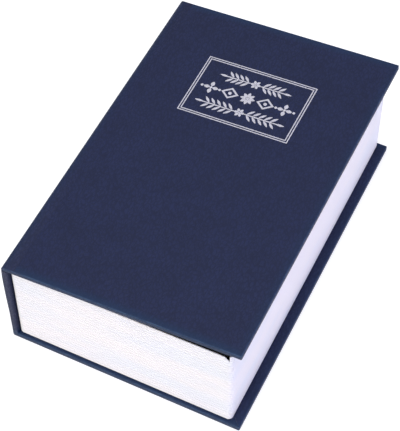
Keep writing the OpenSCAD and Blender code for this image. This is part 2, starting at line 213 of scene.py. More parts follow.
class FoilSettings(bpy.types.PropertyGroup):
    """Foil panel on the front cover"""

    foil_colour: FloatVectorProperty(
        name="Foil colour", description="Colour of the silver foil",
        subtype="COLOR", default=linear("#D8D7E1"),
    )
    panel_w: FloatProperty(
        name="Panel width", description="Width over the outer rule",
        unit="LENGTH", default=56.2 * MM,
    )
    panel_h: FloatProperty(
        name="Panel height", description="Height over the outer rule",
        unit="LENGTH", default=36.5 * MM,
    )
    panel_x: FloatProperty(
        name="Panel place across", description="Panel's centre from the spine edge",
        unit="LENGTH", default=58.35 * MM,
    )
    panel_y: FloatProperty(
        name="Panel place up", description="Panel's centre above mid height",
        unit="LENGTH", default=41.9 * MM,
    )
    rule: FloatProperty(
        name="Rule", description="Width of each of the two rules",
        unit="LENGTH", default=0.52 * MM,
    )
    rule_gap: FloatProperty(
        name="Rule gap", description="Gap between the two rules",
        unit="LENGTH", default=0.65 * MM,
    )
    line: FloatProperty(
        name="Line", description="Width of the ornament's lines",
        unit="LENGTH", default=0.9 * MM,
    )
    film: FloatProperty(
        name="Film", description="Height of the foil above the cloth",
        unit="LENGTH", default=0.06 * MM,
    )
    row: FloatProperty(
        name="Row", description="Distance between the rows of ornament",
        unit="LENGTH", default=9.4 * MM,
    )
    leaf_l: FloatProperty(
        name="Leaf length", description="Length of a leaf of the garlands",
        unit="LENGTH", default=4.5 * MM,
    )
    leaf_w: FloatProperty(
        name="Leaf width", description="Width of a leaf of the garlands",
        unit="LENGTH", default=1.25 * MM,
    )
    upper_w: FloatProperty(
        name="Upper row", description="Width of the upper garland",
        unit="LENGTH", default=37 * MM,
    )
    lower_w: FloatProperty(
        name="Lower row", description="Width of the lower garland",
        unit="LENGTH", default=46 * MM,
    )
    pairs: IntProperty(
        name="Leaf pairs", description="Leaf pairs in half of the upper garland",
        default=4, min=2, max=8,
    )


class StudioSettings(bpy.types.PropertyGroup):
    """Floor, lights and camera"""

    floor_colour: FloatVectorProperty(
        name="Floor colour", description="Colour of the floor",
        subtype="COLOR", default=linear("#BEBEC1"),
    )
    sky_colour: FloatVectorProperty(
        name="Room colour", description="Colour of the room's light",
        subtype="COLOR", default=(0.97, 0.97, 1.0),
    )
    sky: FloatProperty(
        name="Room light", description="Strength of the room's light",
        default=0.55,
    )
    glow: FloatProperty(
        name="Table light", description="Strength of the light through the table top",
        default=0.66,
    )
    lens: FloatProperty(
        name="Lens", description="Focal length on a 36 mm sensor, in mm",
        default=125.95,
    )


SETTINGS = {
    "money_box_case": CaseSettings,
    "money_box_page": PageSettings,
    "money_box_steel": SteelSettings,
    "money_box_lock": LockSettings,
    "money_box_foil": FoilSettings,
    "money_box_studio": StudioSettings,
}


# Shader nodes


def add(tree, kind, inputs=None, **settings):
    """Adds a shader node. An input is given as a value, or as the output socket it is linked to."""
    made = tree.nodes.new("ShaderNode" + kind)
    for name, value in settings.items():
        setattr(made, name, value)
    for name, value in (inputs or {}).items():
        if isinstance(value, bpy.types.NodeSocket):
            tree.links.new(value, made.inputs[name])
        else:
            made.inputs[name].default_value = value
    return made


def colour(rgb, factor=1.0):
    """An RGB colour, made lighter or darker by a factor, with full alpha."""
    return (*(min(1.0, c * factor) for c in rgb), 1.0)


def blank_material(name):
    """A material with an empty tree but for its shader and output, and object coordinates in mm."""
    material = bpy.data.materials.new(name)
    material.use_nodes = True
    tree = material.node_tree
    tree.nodes.clear()
    shader = add(tree, "BsdfPrincipled")
    add(tree, "OutputMaterial", {"Surface": shader.outputs["BSDF"]})
    place = add(tree, "TexCoord").outputs["Object"]
    return material, tree, shader, place


def in_mm(tree, place, origin=(0, 0, 0), turn=(0, 0, 0)):
    """Coordinates in millimetres from an origin in metres, on axes turned by the angles."""
    axes = {"Vector": place, "Location": origin, "Rotation": turn}
    local = add(tree, "Mapping", axes, vector_type="TEXTURE").outputs[0]
    return add(tree, "VectorMath", {0: local, "Scale": 1 / MM}, operation="SCALE").outputs[0]


def remap(tree, value, low, high, to_low=0.0, to_high=1.0, ease="SMOOTHSTEP"):
    """The value mapped from low and high to the new limits, and held there."""
    ends = {0: value, 1: low, 2: high, 3: to_low, 4: to_high}
    return add(tree, "MapRange", ends, interpolation_type=ease).outputs[0]


def maths(tree, operation, a, b=0.0):
    """Result of one sum on two values."""
    return add(tree, "Math", {0: a, 1: b}, operation=operation).outputs[0]


def noise(tree, place, scale, detail, **more):
    """Fractal noise from 0 to 1, with that many waves in one unit of the place."""
    inputs = {"Vector": place, "Scale": scale, "Detail": detail, **more}
    return add(tree, "TexNoise", inputs).outputs[0]


def blend(tree, factor, first, second):
    """Mixes two colours by the factor."""
    return add(tree, "Mix", {0: factor, 6: first, 7: second}, data_type="RGBA").outputs[2]


def raised(tree, height, depth):
    """Normal of a surface with that height pattern, the depth in metres."""
    return add(tree, "Bump", {"Height": height, "Distance": depth, "Strength": 1.0}).outputs[0]


def pebble_grain(tree, mm, size):
    """Heights of a leather grain, and its creases alone as 0 in a crease and 1 on a pebble.

    Pebbles of that size in mm, drawn out aslant, with creases between them, wrinkles that wander
    over several pebbles and run out again, and a fine tooth.
    """
    aslant = {"Vector": mm, "Rotation": (0, 0, math.radians(38)), "Scale": (1.0, 0.5, 1.0)}
    slant = add(tree, "Mapping", aslant).outputs[0]
    bend = add(tree, "TexNoise", {"Vector": slant, "Scale": 0.5 / size, "Detail": 3.0}).outputs["Color"]
    centred = add(tree, "VectorMath", {0: bend, 1: (0.5, 0.5, 0.5)}, operation="SUBTRACT").outputs[0]
    push = add(tree, "VectorMath", {0: centred, "Scale": 2.0 * size}, operation="SCALE").outputs[0]
    bent = add(tree, "VectorMath", {0: slant, 1: push}, operation="ADD").outputs[0]
    cells = {"Vector": bent, "Scale": 1 / size}
    edge = add(tree, "TexVoronoi", cells, feature="DISTANCE_TO_EDGE").outputs[0]
    pebble = remap(tree, edge, 0.0, 0.3)
    wander = noise(tree, slant, 0.32 / size, 2.0, Distortion=0.8)
    off_middle = maths(tree, "ABSOLUTE", maths(tree, "SUBTRACT", wander, 0.5))
    wrinkle = remap(tree, off_middle, 0.0, 0.05, 0.85, 0.0)
    patch = noise(tree, mm, 0.3 / size, 1.0)
    wrinkles = maths(tree, "MULTIPLY", wrinkle, remap(tree, patch, 0.4, 0.52))
    creases = maths(tree, "MULTIPLY", pebble, maths(tree, "SUBTRACT", 1.0, wrinkles))
    fine = noise(tree, mm, 2.8 / size, 3.0, Roughness=0.6)
    return maths(tree, "ADD", creases, maths(tree, "MULTIPLY", fine, 0.25)), creases


def near_edges(tree, mm, box, width, ends_only=False):
    """1 along the edges of a box given in metres, fading to 0 within the width in mm.

    With ends_only the edges that run along Y are left out.
    """
    gaps = []
    for corner in box:
        face = tuple(c / MM for c in corner)
        gap = add(tree, "VectorMath", {0: mm, 1: face}, operation="SUBTRACT").outputs[0]
        gaps.append(add(tree, "VectorMath", {0: gap}, operation="ABSOLUTE").outputs[0])
    nearest = add(tree, "VectorMath", {0: gaps[0], 1: gaps[1]}, operation="MINIMUM").outputs[0]
    axes = add(tree, "SeparateXYZ", {0: nearest}).outputs
    x, y, z = (remap(tree, axis, 0.0, width, 1.0, 0.0) for axis in axes)
    ends = maths(tree, "MULTIPLY", y, maths(tree, "MAXIMUM", x, z))
    return ends if ends_only else maths(tree, "MAXIMUM", ends, maths(tree, "MULTIPLY", z, x))


# Materials of the case

FRONT_BOX = ((0, -BOARD_H / 2, 0), (BOARD_W, BOARD_H / 2, COVER_T))
BACK_BOX = ((2 * CASE_LOW.x, CASE_LOW.y, 0), (CASE_HIGH.x, CASE_HIGH.y, COVER_T))
SPINE_BOX = (CASE_LOW, (2 * CASE_HIGH.x, CASE_HIGH.y, 2 * CASE_HIGH.z))


def leatherette(name, boxes, origin=(0, 0, 0), turn=(0, 0, 0)):
    """Vinyl-coated bookbinding paper, pressed with a pebble grain by a hot roller.

    The vinyl is satin and a little uneven in tone, and the creases are duller, with painted shade
    darkening them. Along the head and tail edges of a cover a lighter, greener band is painted in,
    standing in for the light that the edges catch, and less of it at the sides. All edges are rubbed
    lighter, partly wear and partly a painted highlight. boxes are the boards that it covers, a cover
    first, drawn on past the sides where a board has no edge.
    """
    case = bpy.context.scene.money_box_case
    material, tree, shader, place = blank_material(name)
    mm = in_mm(tree, place, origin, turn)
    height, creases = pebble_grain(tree, mm, case.grain / MM)

    tone = noise(tree, mm, 1 / 16, 3.5, Roughness=0.6)
    dark, light = colour(case.cloth_colour, 0.93), colour(case.cloth_colour, 1.08)
    cloth = blend(tree, remap(tree, tone, 0.3, 0.7), dark, light)
    # Painted shade: the creases are darkened towards half the cloth colour
    in_crease = remap(tree, creases, 0.0, 0.5, 0.54, 0.0)
    crease_shaded = blend(tree, in_crease, cloth, colour(case.cloth_colour, 0.5))

    # Painted light: a lighter, greener band along the head and tail edges, weaker at the sides, where the
    # edges catch the light
    edge_light_w = case.edge_light_w / MM
    end_edges_light = near_edges(tree, mm, boxes[0], edge_light_w, ends_only=True)
    all_edges_light = near_edges(tree, mm, boxes[0], edge_light_w)
    shares = maths(tree, "MULTIPLY", end_edges_light, 0.7), maths(tree, "MULTIPLY", all_edges_light, 0.3)
    drawn = blend(tree, maths(tree, "MAXIMUM", *shares), crease_shaded, colour(case.edge_light_colour))
    # Lighter line along all edges, patchy: partly wear, partly a painted highlight
    patchy = noise(tree, mm, 1 / 3.5, 4.0)
    rubs = [near_edges(tree, mm, box, case.rub / MM) for box in boxes]
    rub = rubs[0] if len(rubs) == 1 else maths(tree, "MAXIMUM", *rubs)
    wear_and_highlight = maths(tree, "MULTIPLY", rub, remap(tree, patchy, 0.35, 0.7, 0.2, 0.65))
    tree.links.new(blend(tree, wear_and_highlight, drawn, colour(case.wear_and_highlight_colour)), shader.inputs["Base Color"])

    rough = remap(tree, creases, 0.0, 1.0, 0.62, 0.46, ease="LINEAR")
    tree.links.new(rough, shader.inputs["Roughness"])
    tree.links.new(raised(tree, height, case.grain_depth), shader.inputs["Normal"])
    shader.inputs["IOR"].default_value = 1.5
    shader.inputs["Specular IOR Level"].default_value = 0.27
    return material


def greyboard():
    """Pressed board of waste paper: dull and grey-brown, with specks and short fibres."""
    case = bpy.context.scene.money_box_case
    material, tree, shader, place = blank_material("pressed_greyboard")
    mm = in_mm(tree, place)
    fibre = noise(tree, mm, 1.6, 5.0, Distortion=1.5)
    speck = add(tree, "TexVoronoi", {"Vector": mm, "Scale": 0.9}).outputs["Distance"]
    base = blend(tree, fibre, colour(case.board_colour, 0.8), colour(case.board_colour, 1.15))
    specks = remap(tree, speck, 0.05, 0.14, 0.7, 0.0)
    dotted = blend(tree, specks, base, colour(case.board_colour, 0.5))
    tree.links.new(dotted, shader.inputs["Base Color"])
    tree.links.new(raised(tree, fibre, 0.05 * MM), shader.inputs["Normal"])
    shader.inputs["Roughness"].default_value = 0.92
    return material


def endpaper():
    """Wove paper pasted on the board: matt off-white, with a cloudy formation and fine fibres."""
    case = bpy.context.scene.money_box_case
    material, tree, shader, place = blank_material("wove_endpaper")
    mm = in_mm(tree, place)
    cloud = noise(tree, mm, 1 / 5, 3.0)
    fibre = noise(tree, mm, 2.5, 4.0, Distortion=2.0)
    paper = blend(tree, cloud, colour(case.paper_colour, 0.95), colour(case.paper_colour, 1.03))
    tree.links.new(paper, shader.inputs["Base Color"])
    tree.links.new(raised(tree, maths(tree, "ADD", fibre, cloud), 0.03 * MM), shader.inputs["Normal"])
    shader.inputs["Roughness"].default_value = 0.88
    return material


def page_plastic():
    """Injection-moulded polystyrene, spark-eroded to look like the cut edges of leaves.

    Warm white and satin, and it lets light a little way in. Fine level lines, each one leaf
    gathering high, and faint cooler streaks run round it. The lines are drawn at 0.7 mm,
    because real leaves at 0.1 mm wouldn't show.
    """
    page = bpy.context.scene.money_box_page
    material, tree, shader, place = blank_material("moulded_polystyrene_leaves")
    mm = in_mm(tree, place)
    level = add(tree, "Mapping", {"Vector": mm, "Scale": (0.02, 0.02, MM / page.leaf)}).outputs[0]
    leaves = noise(tree, level, 1.0, 3.0, Roughness=0.7)
    drawn = {"Vector": mm, "Location": (0.0, 0.0, 2.5), "Scale": (0.01, 0.01, 0.06)}
    broad = add(tree, "Mapping", drawn).outputs[0]
    streak = noise(tree, broad, 1.0, 3.0)
    streaked = remap(tree, streak, 0.42, 0.62)
    white = blend(tree, streaked, colour(page.page_colour), colour(page.streak_colour))
    lines = remap(tree, leaves, 0.5, 0.72, 0.0, 0.06)
    lined = blend(tree, lines, white, colour(page.streak_colour, 0.92))
    tree.links.new(lined, shader.inputs["Base Color"])
    tree.links.new(raised(tree, leaves, 0.002 * MM), shader.inputs["Normal"])
    shader.inputs["Subsurface Weight"].default_value = 1.0
    shader.inputs["Subsurface Radius"].default_value = (1.0, 1.0, 1.0)
    shader.inputs["Subsurface Scale"].default_value = page.scatter
    shader.inputs["Roughness"].default_value = 0.5
    shader.inputs["IOR"].default_value = 1.55
    shader.inputs["Specular IOR Level"].default_value = 0.35
    return material


# Materials of the steel box and lock


def powder_coat():
    """Black polyester powder baked on sheet steel: satin, with a fine orange peel."""
    steel = bpy.context.scene.money_box_steel
    material, tree, shader, place = blank_material("black_powder_coat")
    mm = in_mm(tree, place)
    cells = {"Vector": mm, "Scale": MM / steel.coat_grain}
    peel = add(tree, "TexVoronoi", cells, feature="SMOOTH_F1").outputs[0]
    dust = noise(tree, mm, 1 / 14, 5.0, Roughness=0.65)
    film = blend(tree, dust, colour(steel.coat_colour, 0.85), colour(steel.coat_colour, 1.5))
    tree.links.new(film, shader.inputs["Base Color"])
    tree.links.new(remap(tree, dust, 0.2, 0.8, 0.36, 0.52), shader.inputs["Roughness"])
    tree.links.new(raised(tree, peel, 0.035 * MM), shader.inputs["Normal"])
    return material


def zinc_plate():
    """Bright zinc plate on small steel parts, barrelled in bulk: soft, cloudy, a little scratched."""
    steel = bpy.context.scene.money_box_steel
    material, tree, shader, place = blank_material("bright_zinc_plate")
    mm = in_mm(tree, place)
    cloud = noise(tree, mm, 0.7, 4.0)
    scratch = noise(tree, mm, 3.0, 2.0, Distortion=3.0)
    plate = blend(tree, cloud, colour(steel.zinc_colour, 0.8), colour(steel.zinc_colour, 1.08))
    tree.links.new(plate, shader.inputs["Base Color"])
    tree.links.new(remap(tree, scratch, 0.3, 0.7, 0.26, 0.46), shader.inputs["Roughness"])
    tree.links.new(raised(tree, scratch, 0.01 * MM), shader.inputs["Normal"])
    shader.inputs["Metallic"].default_value = 1.0
    return material


def chrome_plate():
    """Chrome on die-cast zinc, turned before plating: mirror-like, with fine rings on its faces."""
    lock = bpy.context.scene.money_box_lock
    low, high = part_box("lock_housing")
    material, tree, shader, place = blank_material("chromed_zinc_casting")
    mm = in_mm(tree, place, origin=((low.x + high.x) / 2, (low.y + high.y) / 2, 0))
    turned = {"Vector": mm, "Scale": 1.3, "Distortion": 0.4}
    rings = add(tree, "TexWave", turned, wave_type="RINGS", rings_direction="Z").outputs["Fac"]
    haze = noise(tree, mm, 0.8, 4.0)
    plate = blend(tree, haze, colour(lock.chrome_colour, 0.92), colour(lock.chrome_colour))
    tree.links.new(plate, shader.inputs["Base Color"])
    tree.links.new(remap(tree, haze, 0.3, 0.75, 0.1, 0.24), shader.inputs["Roughness"])
    tree.links.new(raised(tree, rings, 0.006 * MM), shader.inputs["Normal"])
    shader.inputs["Metallic"].default_value = 1.0
    return material


def wafer_brass():
    """Rolled brass strip, stamped: yellow, brushed along the strip, with a slight tarnish."""
    lock = bpy.context.scene.money_box_lock
    material, tree, shader, place = blank_material("stamped_brass")
    mm = in_mm(tree, place)
    rolled = add(tree, "Mapping", {"Vector": mm, "Scale": (0.4, 6.0, 6.0)}).outputs[0]
    brush = noise(tree, rolled, 1.0, 4.0)
    tone = blend(tree, brush, colour(lock.brass_colour, 0.75), colour(lock.brass_colour))
    tree.links.new(tone, shader.inputs["Base Color"])
    tree.links.new(remap(tree, brush, 0.3, 0.7, 0.28, 0.44), shader.inputs["Roughness"])
    shader.inputs["Metallic"].default_value = 1.0
    return material


def silver_foil():
    """Hot-stamped metal foil on the grain: satin silver, thin over the creases of the leatherette."""
    foil, case = bpy.context.scene.money_box_foil, bpy.context.scene.money_box_case
    material, tree, shader, place = blank_material("hot_stamped_silver_foil")
    mm = in_mm(tree, place, FOLD, (0, -TILT, 0))
    height, creases = pebble_grain(tree, mm, case.grain / MM)
    rubbed = noise(tree, mm, 1.4, 3.0)
    in_crease = remap(tree, creases, 0.0, 0.3, 1.0, 0.0)
    thin = maths(tree, "MULTIPLY", in_crease, remap(tree, rubbed, 0.4, 0.7, 0.1, 0.5))
    metal = blend(tree, thin, colour(foil.foil_colour), colour(foil.foil_colour, 0.45))
    tree.links.new(metal, shader.inputs["Base Color"])
    tree.links.new(remap(tree, rubbed, 0.3, 0.7, 0.34, 0.5), shader.inputs["Roughness"])
    tree.links.new(raised(tree, height, case.grain_depth * 0.5), shader.inputs["Normal"])
    shader.inputs["Metallic"].default_value = 0.4
    return material


def table_top():
    """Matt white acrylic table top, lit a little from below, as for catalogue pictures."""
    studio = bpy.context.scene.money_box_studio
    material, _, shader, _ = blank_material("lit_white_acrylic")
    shader.inputs["Emission Color"].default_value = (1.0, 1.0, 1.0, 1.0)
    shader.inputs["Emission Strength"].default_value = studio.glow
    shader.inputs["Base Color"].default_value = colour(studio.floor_colour)
    shader.inputs["Roughness"].default_value = 0.95
    shader.inputs["Specular IOR Level"].default_value = 0.1
    return material


def dress(material, *names):
    """Gives CAD nodes their material."""
    for name in names:
        slots = frame["nodes"][name].data.materials
        slots.clear()
        slots.append(material)


# Modelling


def start():
    """Object mode with nothing selected."""
    if bpy.context.mode != "OBJECT":
        bpy.ops.object.mode_set(mode="OBJECT")
    bpy.ops.object.select_all(action="DESELECT")


def only(*pieces):
    """Selects these pieces alone, the first of them active."""
    start()
    for piece in pieces:
        piece.select_set(True)
    bpy.context.view_layer.objects.active = pieces[0]


def edit_all(piece, mode="FACE"):
    """Opens a piece in edit mode with everything selected."""
    only(piece)
    bpy.ops.object.mode_set(mode="EDIT")
    bpy.ops.mesh.select_mode(type=mode)
    bpy.ops.mesh.select_all(action="SELECT")


def apply_place(piece, place=None):
    """Moves a piece by the matrix and puts its place into its mesh."""
    if place is not None:
        piece.matrix_world = place @ piece.matrix_world
    only(piece)
    bpy.ops.object.transform_apply(location=True, rotation=True, scale=True)


def apply_modifier(piece, kind, **settings):
    """Adds a modifier with its settings and applies it."""
    only(piece)
    modifier = piece.modifiers.new(kind.lower(), kind)
    for name, value in settings.items():
        setattr(modifier, name, value)
    bpy.ops.object.modifier_apply(modifier=modifier.name)


def joined(name, parts):
    """Joins the parts into one piece of that name."""
    only(*parts)
    bpy.ops.object.join()
    parts[0].name = parts[0].data.name = name
    return parts[0]


def copied(piece, place):
    """A copy of the piece with its own mesh, moved by the matrix."""
    copy = piece.copy()
    copy.data = piece.data.copy()
    bpy.context.scene.collection.objects.link(copy)
    copy.matrix_world = place @ piece.matrix_world
    return copy


def finish_piece(piece, material, body=None):
    """Gives a finished piece its material and slot, and lets it ride on a body."""
    piece.data.materials.clear()
    piece.data.materials.append(material)
    if body:
        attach(piece, body)
    return piece


# Covering at the fold


def fold_strip(case):
    """Strip of covering that runs up the spine, over the fold and on to the front cover.

    Both of its long edges lie sunk in the covering of the boards, and between them it stands
    off the spine a little, as covering does that has been opened often.
    """
    stand, sunk, film = case.fold_bulge, 0.2 * MM, 0.06 * MM
    spine = [(13, -sunk), (28, 0.5 * stand), (38, 0.92 * stand), (45, stand), (50, 0.8 * stand)]
    points = [Vector((CASE_LOW.x - out, 0, z * MM)) for z, out in spine]
    centre, radius = Vector((case.fold_r, 0, COVER_T - case.fold_r)), case.fold_r + film
    for step in range(5):
        angle = step * math.pi / 8
        points.append(ON_COVER @ (centre + radius * Vector((-math.cos(angle), 0, math.sin(angle)))))
    for x, out in ((3.5, 0.5 * film), (10.0, -0.3 * film)):
        points.append(ON_COVER @ Vector((x * MM, 0, COVER_T + out)))
    start()
    bpy.ops.curve.primitive_bezier_curve_add()
    strip = bpy.context.object
    spline = strip.data.splines[0]
    spline.bezier_points.add(len(points) - 2)
    for point, place in zip(spline.bezier_points, points):
        point.handle_left_type = point.handle_right_type = "AUTO"
        point.co = place
    strip.data.resolution_u = 8
    only(strip)
    bpy.ops.object.convert(target="MESH")
    strip = bpy.context.object
    reach = CASE_HIGH.y - 0.25 * MM
    apply_place(strip, Matrix.Translation((0, -reach, 0)))
    edit_all(strip, "EDGE")
    bpy.ops.mesh.extrude_region_move(TRANSFORM_OT_translate={"value": (0, 2 * reach, 0)})
    start()
    if strip.data.polygons[0].normal.x > 0:
        edit_all(strip)
        bpy.ops.mesh.flip_normals()
        start()
    apply_modifier(strip, "SOLIDIFY", thickness=case.cloth_t, offset=-1.0)
    apply_modifier(
        strip, "BEVEL", width=0.12 * MM, segments=2, limit_method="ANGLE", angle_limit=math.radians(50)
    )
    only(strip)
    bpy.ops.object.shade_smooth_by_angle(angle=math.radians(40))
    strip.name = strip.data.name = "outer_fold"
    return strip


def spine_turn_in():
    """Covering that is turned in over the top edge of the spine board and down its inner face."""
    low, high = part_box("spine_board")
    film, drop, past = 0.06 * MM, 4.5 * MM, 0.1 * MM
    width, reach = high.x - low.x + 2 * past, high.y - 0.2 * MM
    start()
    bpy.ops.mesh.primitive_plane_add(size=1)
    turn_in = bpy.context.object
    place = Matrix.Translation(((low.x + high.x) / 2, 0, high.z + film / 4))
    apply_place(turn_in, place @ Matrix.Diagonal((width, 2 * reach, 1, 1)))
    bpy.ops.object.mode_set(mode="EDIT")
    bpy.ops.mesh.select_mode(type="EDGE")
    bpy.ops.mesh.select_all(action="DESELECT")
    bpy.ops.object.mode_set(mode="OBJECT")
    for edge in turn_in.data.edges:
        edge.select = all(turn_in.data.vertices[v].co.x > high.x for v in edge.vertices)
    bpy.ops.object.mode_set(mode="EDIT")
    bpy.ops.mesh.extrude_region_move(TRANSFORM_OT_translate={"value": (0, 0, -drop)})
    bpy.ops.mesh.select_all(action="SELECT")
    bpy.ops.mesh.normals_make_consistent(inside=False)
    start()
    if turn_in.data.polygons[0].normal.z < 0:
        edit_all(turn_in)
        bpy.ops.mesh.flip_normals()
        start()
    apply_modifier(turn_in, "SOLIDIFY", thickness=film, offset=1.0)
    turn_in.name = turn_in.data.name = "spine_turn_in"
    return turn_in


# Thread of the lock


def barrel_thread(lock):
    """Ridge of the thread on the lock's barrel below the nut, cut away at the barrel's two flats."""
    low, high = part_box("lock_housing")
    centre = Vector(((low.x + high.x) / 2, (low.y + high.y) / 2, 0))
    near = 0.1 * MM
    corners = [v.co for v in frame["nodes"]["lock_housing"].data.vertices]
    end = [co - centre for co in corners if co.z < low.z + near]
    radius = max(math.hypot(co.x, co.y) for co in end)
    flat = max(abs(co.x) for co in end)
    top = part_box("lock_nut")[0].z
    root, half, steps = 0.1 * MM, 0.42 * lock.thread_pitch, 48
    turns = int((top - low.z - half) / lock.thread_pitch)
    start()
    bpy.ops.mesh.primitive_circle_add(vertices=3, radius=1, fill_type="NOTHING")
    ridge = bpy.context.object
    across, tall = (lock.thread_depth + root) / 1.5, half / math.sin(math.radians(60))
    outwards = Matrix.Rotation(math.radians(90), 4, "X") @ Matrix.Rotation(math.radians(-90), 4, "Z")
    place = Matrix.Translation((radius - root + across / 2, 0, low.z + half + near))
    apply_place(ridge, place @ Matrix.Diagonal((across, 1, tall, 1)) @ outwards)
    pitch = lock.thread_pitch
    apply_modifier(
        ridge, "SCREW", axis="Z", screw_offset=pitch, iterations=turns, steps=steps, render_steps=steps
    )
    edit_all(ridge)
    bpy.ops.mesh.fill_holes(sides=0)
    bpy.ops.mesh.normals_make_consistent(inside=False)
    for side in (-1, 1):
        bpy.ops.mesh.select_all(action="SELECT")
        bpy.ops.mesh.bisect(
            plane_co=(side * flat, 0, 0), plane_no=(side, 0, 0), use_fill=True, clear_outer=True
        )
    start()
    apply_place(ridge, Matrix.Translation(centre))
    ridge.name = ridge.data.name = "barrel_thread"
    return ridge


# Foil


def rule_frame(width, height, rule, film):
    """Rectangular line of foil, drawn round the origin."""
    start()
    bpy.ops.mesh.primitive_plane_add(size=1)
    line = bpy.context.object
    line.scale = (width, height, 1)
    apply_place(line)
    edit_all(line)
    bpy.ops.mesh.inset(thickness=rule)
    bpy.ops.mesh.delete(type="FACE")
    bpy.ops.mesh.select_all(action="SELECT")
    bpy.ops.mesh.extrude_region_move(TRANSFORM_OT_translate={"value": (0, 0, film)})
    bpy.ops.mesh.select_all(action="SELECT")
    bpy.ops.mesh.normals_make_consistent(inside=False)
    start()
    return line


def foil_leaf(length, width, film):
    """Pointed leaf along X from the origin."""
    start()
    bpy.ops.curve.primitive_bezier_curve_add()
    leaf = bpy.context.object
    spline = leaf.data.splines[0]
    spline.use_cyclic_u = True
    reach, swell = length * 0.36, width * 0.66
    for point, x, side in zip(spline.bezier_points, (0, length), (1, -1)):
        point.handle_left_type = point.handle_right_type = "FREE"
        point.co = (x, 0, 0)
        point.handle_right = (x + side * reach, side * swell, 0)
        point.handle_left = (x + side * reach, -side * swell, 0)
    leaf.data.dimensions = "2D"
    leaf.data.fill_mode = "BOTH"
    leaf.data.extrude = film / 2
    leaf.data.resolution_u = 8
    only(leaf)
    bpy.ops.object.convert(target="MESH")
    return bpy.context.object


def foil_line(points, width, film):
    """Line of foil through the points, with a low round top."""
    start()
    bpy.ops.curve.primitive_bezier_curve_add()
    line = bpy.context.object
    spline = line.data.splines[0]
    spline.bezier_points.add(len(points) - 2)
    for point, place in zip(spline.bezier_points, points):
        point.handle_left_type = point.handle_right_type = "AUTO"
        point.co = (*place, 0)
    line.data.bevel_depth = width / 2
    line.data.bevel_resolution = 2
    line.data.resolution_u = 6
    line.data.use_fill_caps = True
    only(line)
    bpy.ops.object.convert(target="MESH")
    line = bpy.context.object
    line.scale = (1, 1, 2 * film / width)
    apply_place(line)
    return line


def foil_dot(radius, film):
    """Round dot of foil with a low dome."""
    start()
    bpy.ops.mesh.primitive_uv_sphere_add(segments=20, ring_count=8, radius=radius)
    dot = bpy.context.object
    dot.scale = (1, 1, film / radius)
    apply_place(dot)
    return dot


def foil_garland(length, pairs, foil):
    """Laurel garland along X: a straight stem, leaf pairs slanting out from the middle, and a rosette."""
    slant, clear, root = math.radians(45), 3.7 * MM, 0.25 * MM
    reach = length / 2 - foil.leaf_l
    parts = foil_rosette(6, 2.3 * MM, foil)
    leaf = foil_leaf(foil.leaf_l, foil.leaf_w, foil.film)
    for side in (0.0, math.pi):
        outwards = Matrix.Rotation(side, 4, "Z")
        parts.append(copied(leaf, outwards @ Matrix.Translation((reach, 0, 0))))
        for k in range(pairs):
            along = clear + k * (reach - clear) / pairs
            for up in (-1, 1):
                place = outwards @ Matrix.Translation((along, up * root, 0))
                parts.append(copied(leaf, place @ Matrix.Rotation(up * slant, 4, "Z")))
        stem = foil_line([(clear - MM, 0), (reach / 2, 0), (reach + MM, 0)], 0.7 * foil.line, foil.film)
        stem.matrix_world = outwards
        parts.append(stem)
    bpy.data.objects.remove(leaf)
    return parts


def foil_rosette(petals, reach, foil):
    """Ring of petals round a dot."""
    petal = foil_leaf(reach, reach * (0.62 if petals < 8 else 0.52), foil.film)
    parts = []
    for k in range(petals):
        turn = Matrix.Rotation(2 * math.pi * k / petals, 4, "Z")
        parts.append(copied(petal, turn @ Matrix.Translation((0.18 * reach, 0, 0))))
    bpy.data.objects.remove(petal)
    parts.append(foil_dot(0.2 * reach, foil.film))
    return parts


def foil_lozenge(width, height, foil):
    """Lozenge in outline with a dot in it."""
    start()
    bpy.ops.mesh.primitive_circle_add(vertices=4, radius=0.5, fill_type="NGON")
    lozenge = bpy.context.object
    lozenge.scale = (width, height, 1)
    apply_place(lozenge)
    edit_all(lozenge)
    bpy.ops.mesh.inset(thickness=foil.line)
    bpy.ops.mesh.delete(type="FACE")
    bpy.ops.mesh.select_all(action="SELECT")
    bpy.ops.mesh.extrude_region_move(TRANSFORM_OT_translate={"value": (0, 0, foil.film)})
    bpy.ops.mesh.select_all(action="SELECT")
    bpy.ops.mesh.normals_make_consistent(inside=False)
    start()
    return [lozenge, foil_dot(0.1 * width, foil.film)]


def moved(parts, x):
    """The same parts, moved along the row."""
    for part in parts:
        part.matrix_world = Matrix.Translation((x, 0, 0)) @ part.matrix_world
    return parts


def stamp(name, parts, foil, material, up=0.0):
    """Joins foil parts and lays them on the front cover, that far up from the panel's centre."""
    for part in parts:
        apply_place(part)
    piece = joined(name, parts)
    apply_place(piece, ON_COVER @ Matrix.Translation((foil.panel_x, foil.panel_y + up, COVER_T)))
    return finish_piece(piece, material, "front_cover")


# Studio

# Softboxes: name, place, width, power in watts and colour
SOFTBOXES = (
    ("overhead_softbox", (0.0, -0.30, 1.40), 0.9, 10.0, (1.0, 1.0, 1.0)),
    ("tail_softbox", (-0.45, -1.35, 0.75), 0.9, 4.3, (1.0, 0.97, 0.80)),
    ("fore_softbox", (1.40, -0.25, 0.80), 0.8, 5.6, (0.22, 0.23, 1.0)),
)

# Camera, fitted to the straight edges of the book
CAMERA_PLACE = Vector((0.18058, -0.38336, 0.60051))
CAMERA_RIGHT = Vector((0.90049, 0.43487, 0.00008))
CAMERA_UP = Vector((-0.35160, 0.72794, 0.58863))
SENSOR_W = 36


# Operators


class MONEYBOX_OT_case(bpy.types.Operator):
    """Gives the boards, covering and endpapers their materials"""

    bl_idname = "moneybox.case"
    bl_label = "Finish Case"

    def execute(self, context):
        dress(leatherette("front_leatherette", [FRONT_BOX], FOLD, (0, -TILT, 0)), "front_covering")
        dress(leatherette("case_leatherette", [BACK_BOX, SPINE_BOX]), "spine_and_back_covering")
        dress(greyboard(), "front_board", "back_board", "spine_board")
        dress(endpaper(), "front_endpaper", "back_endpaper")
        return {"FINISHED"}


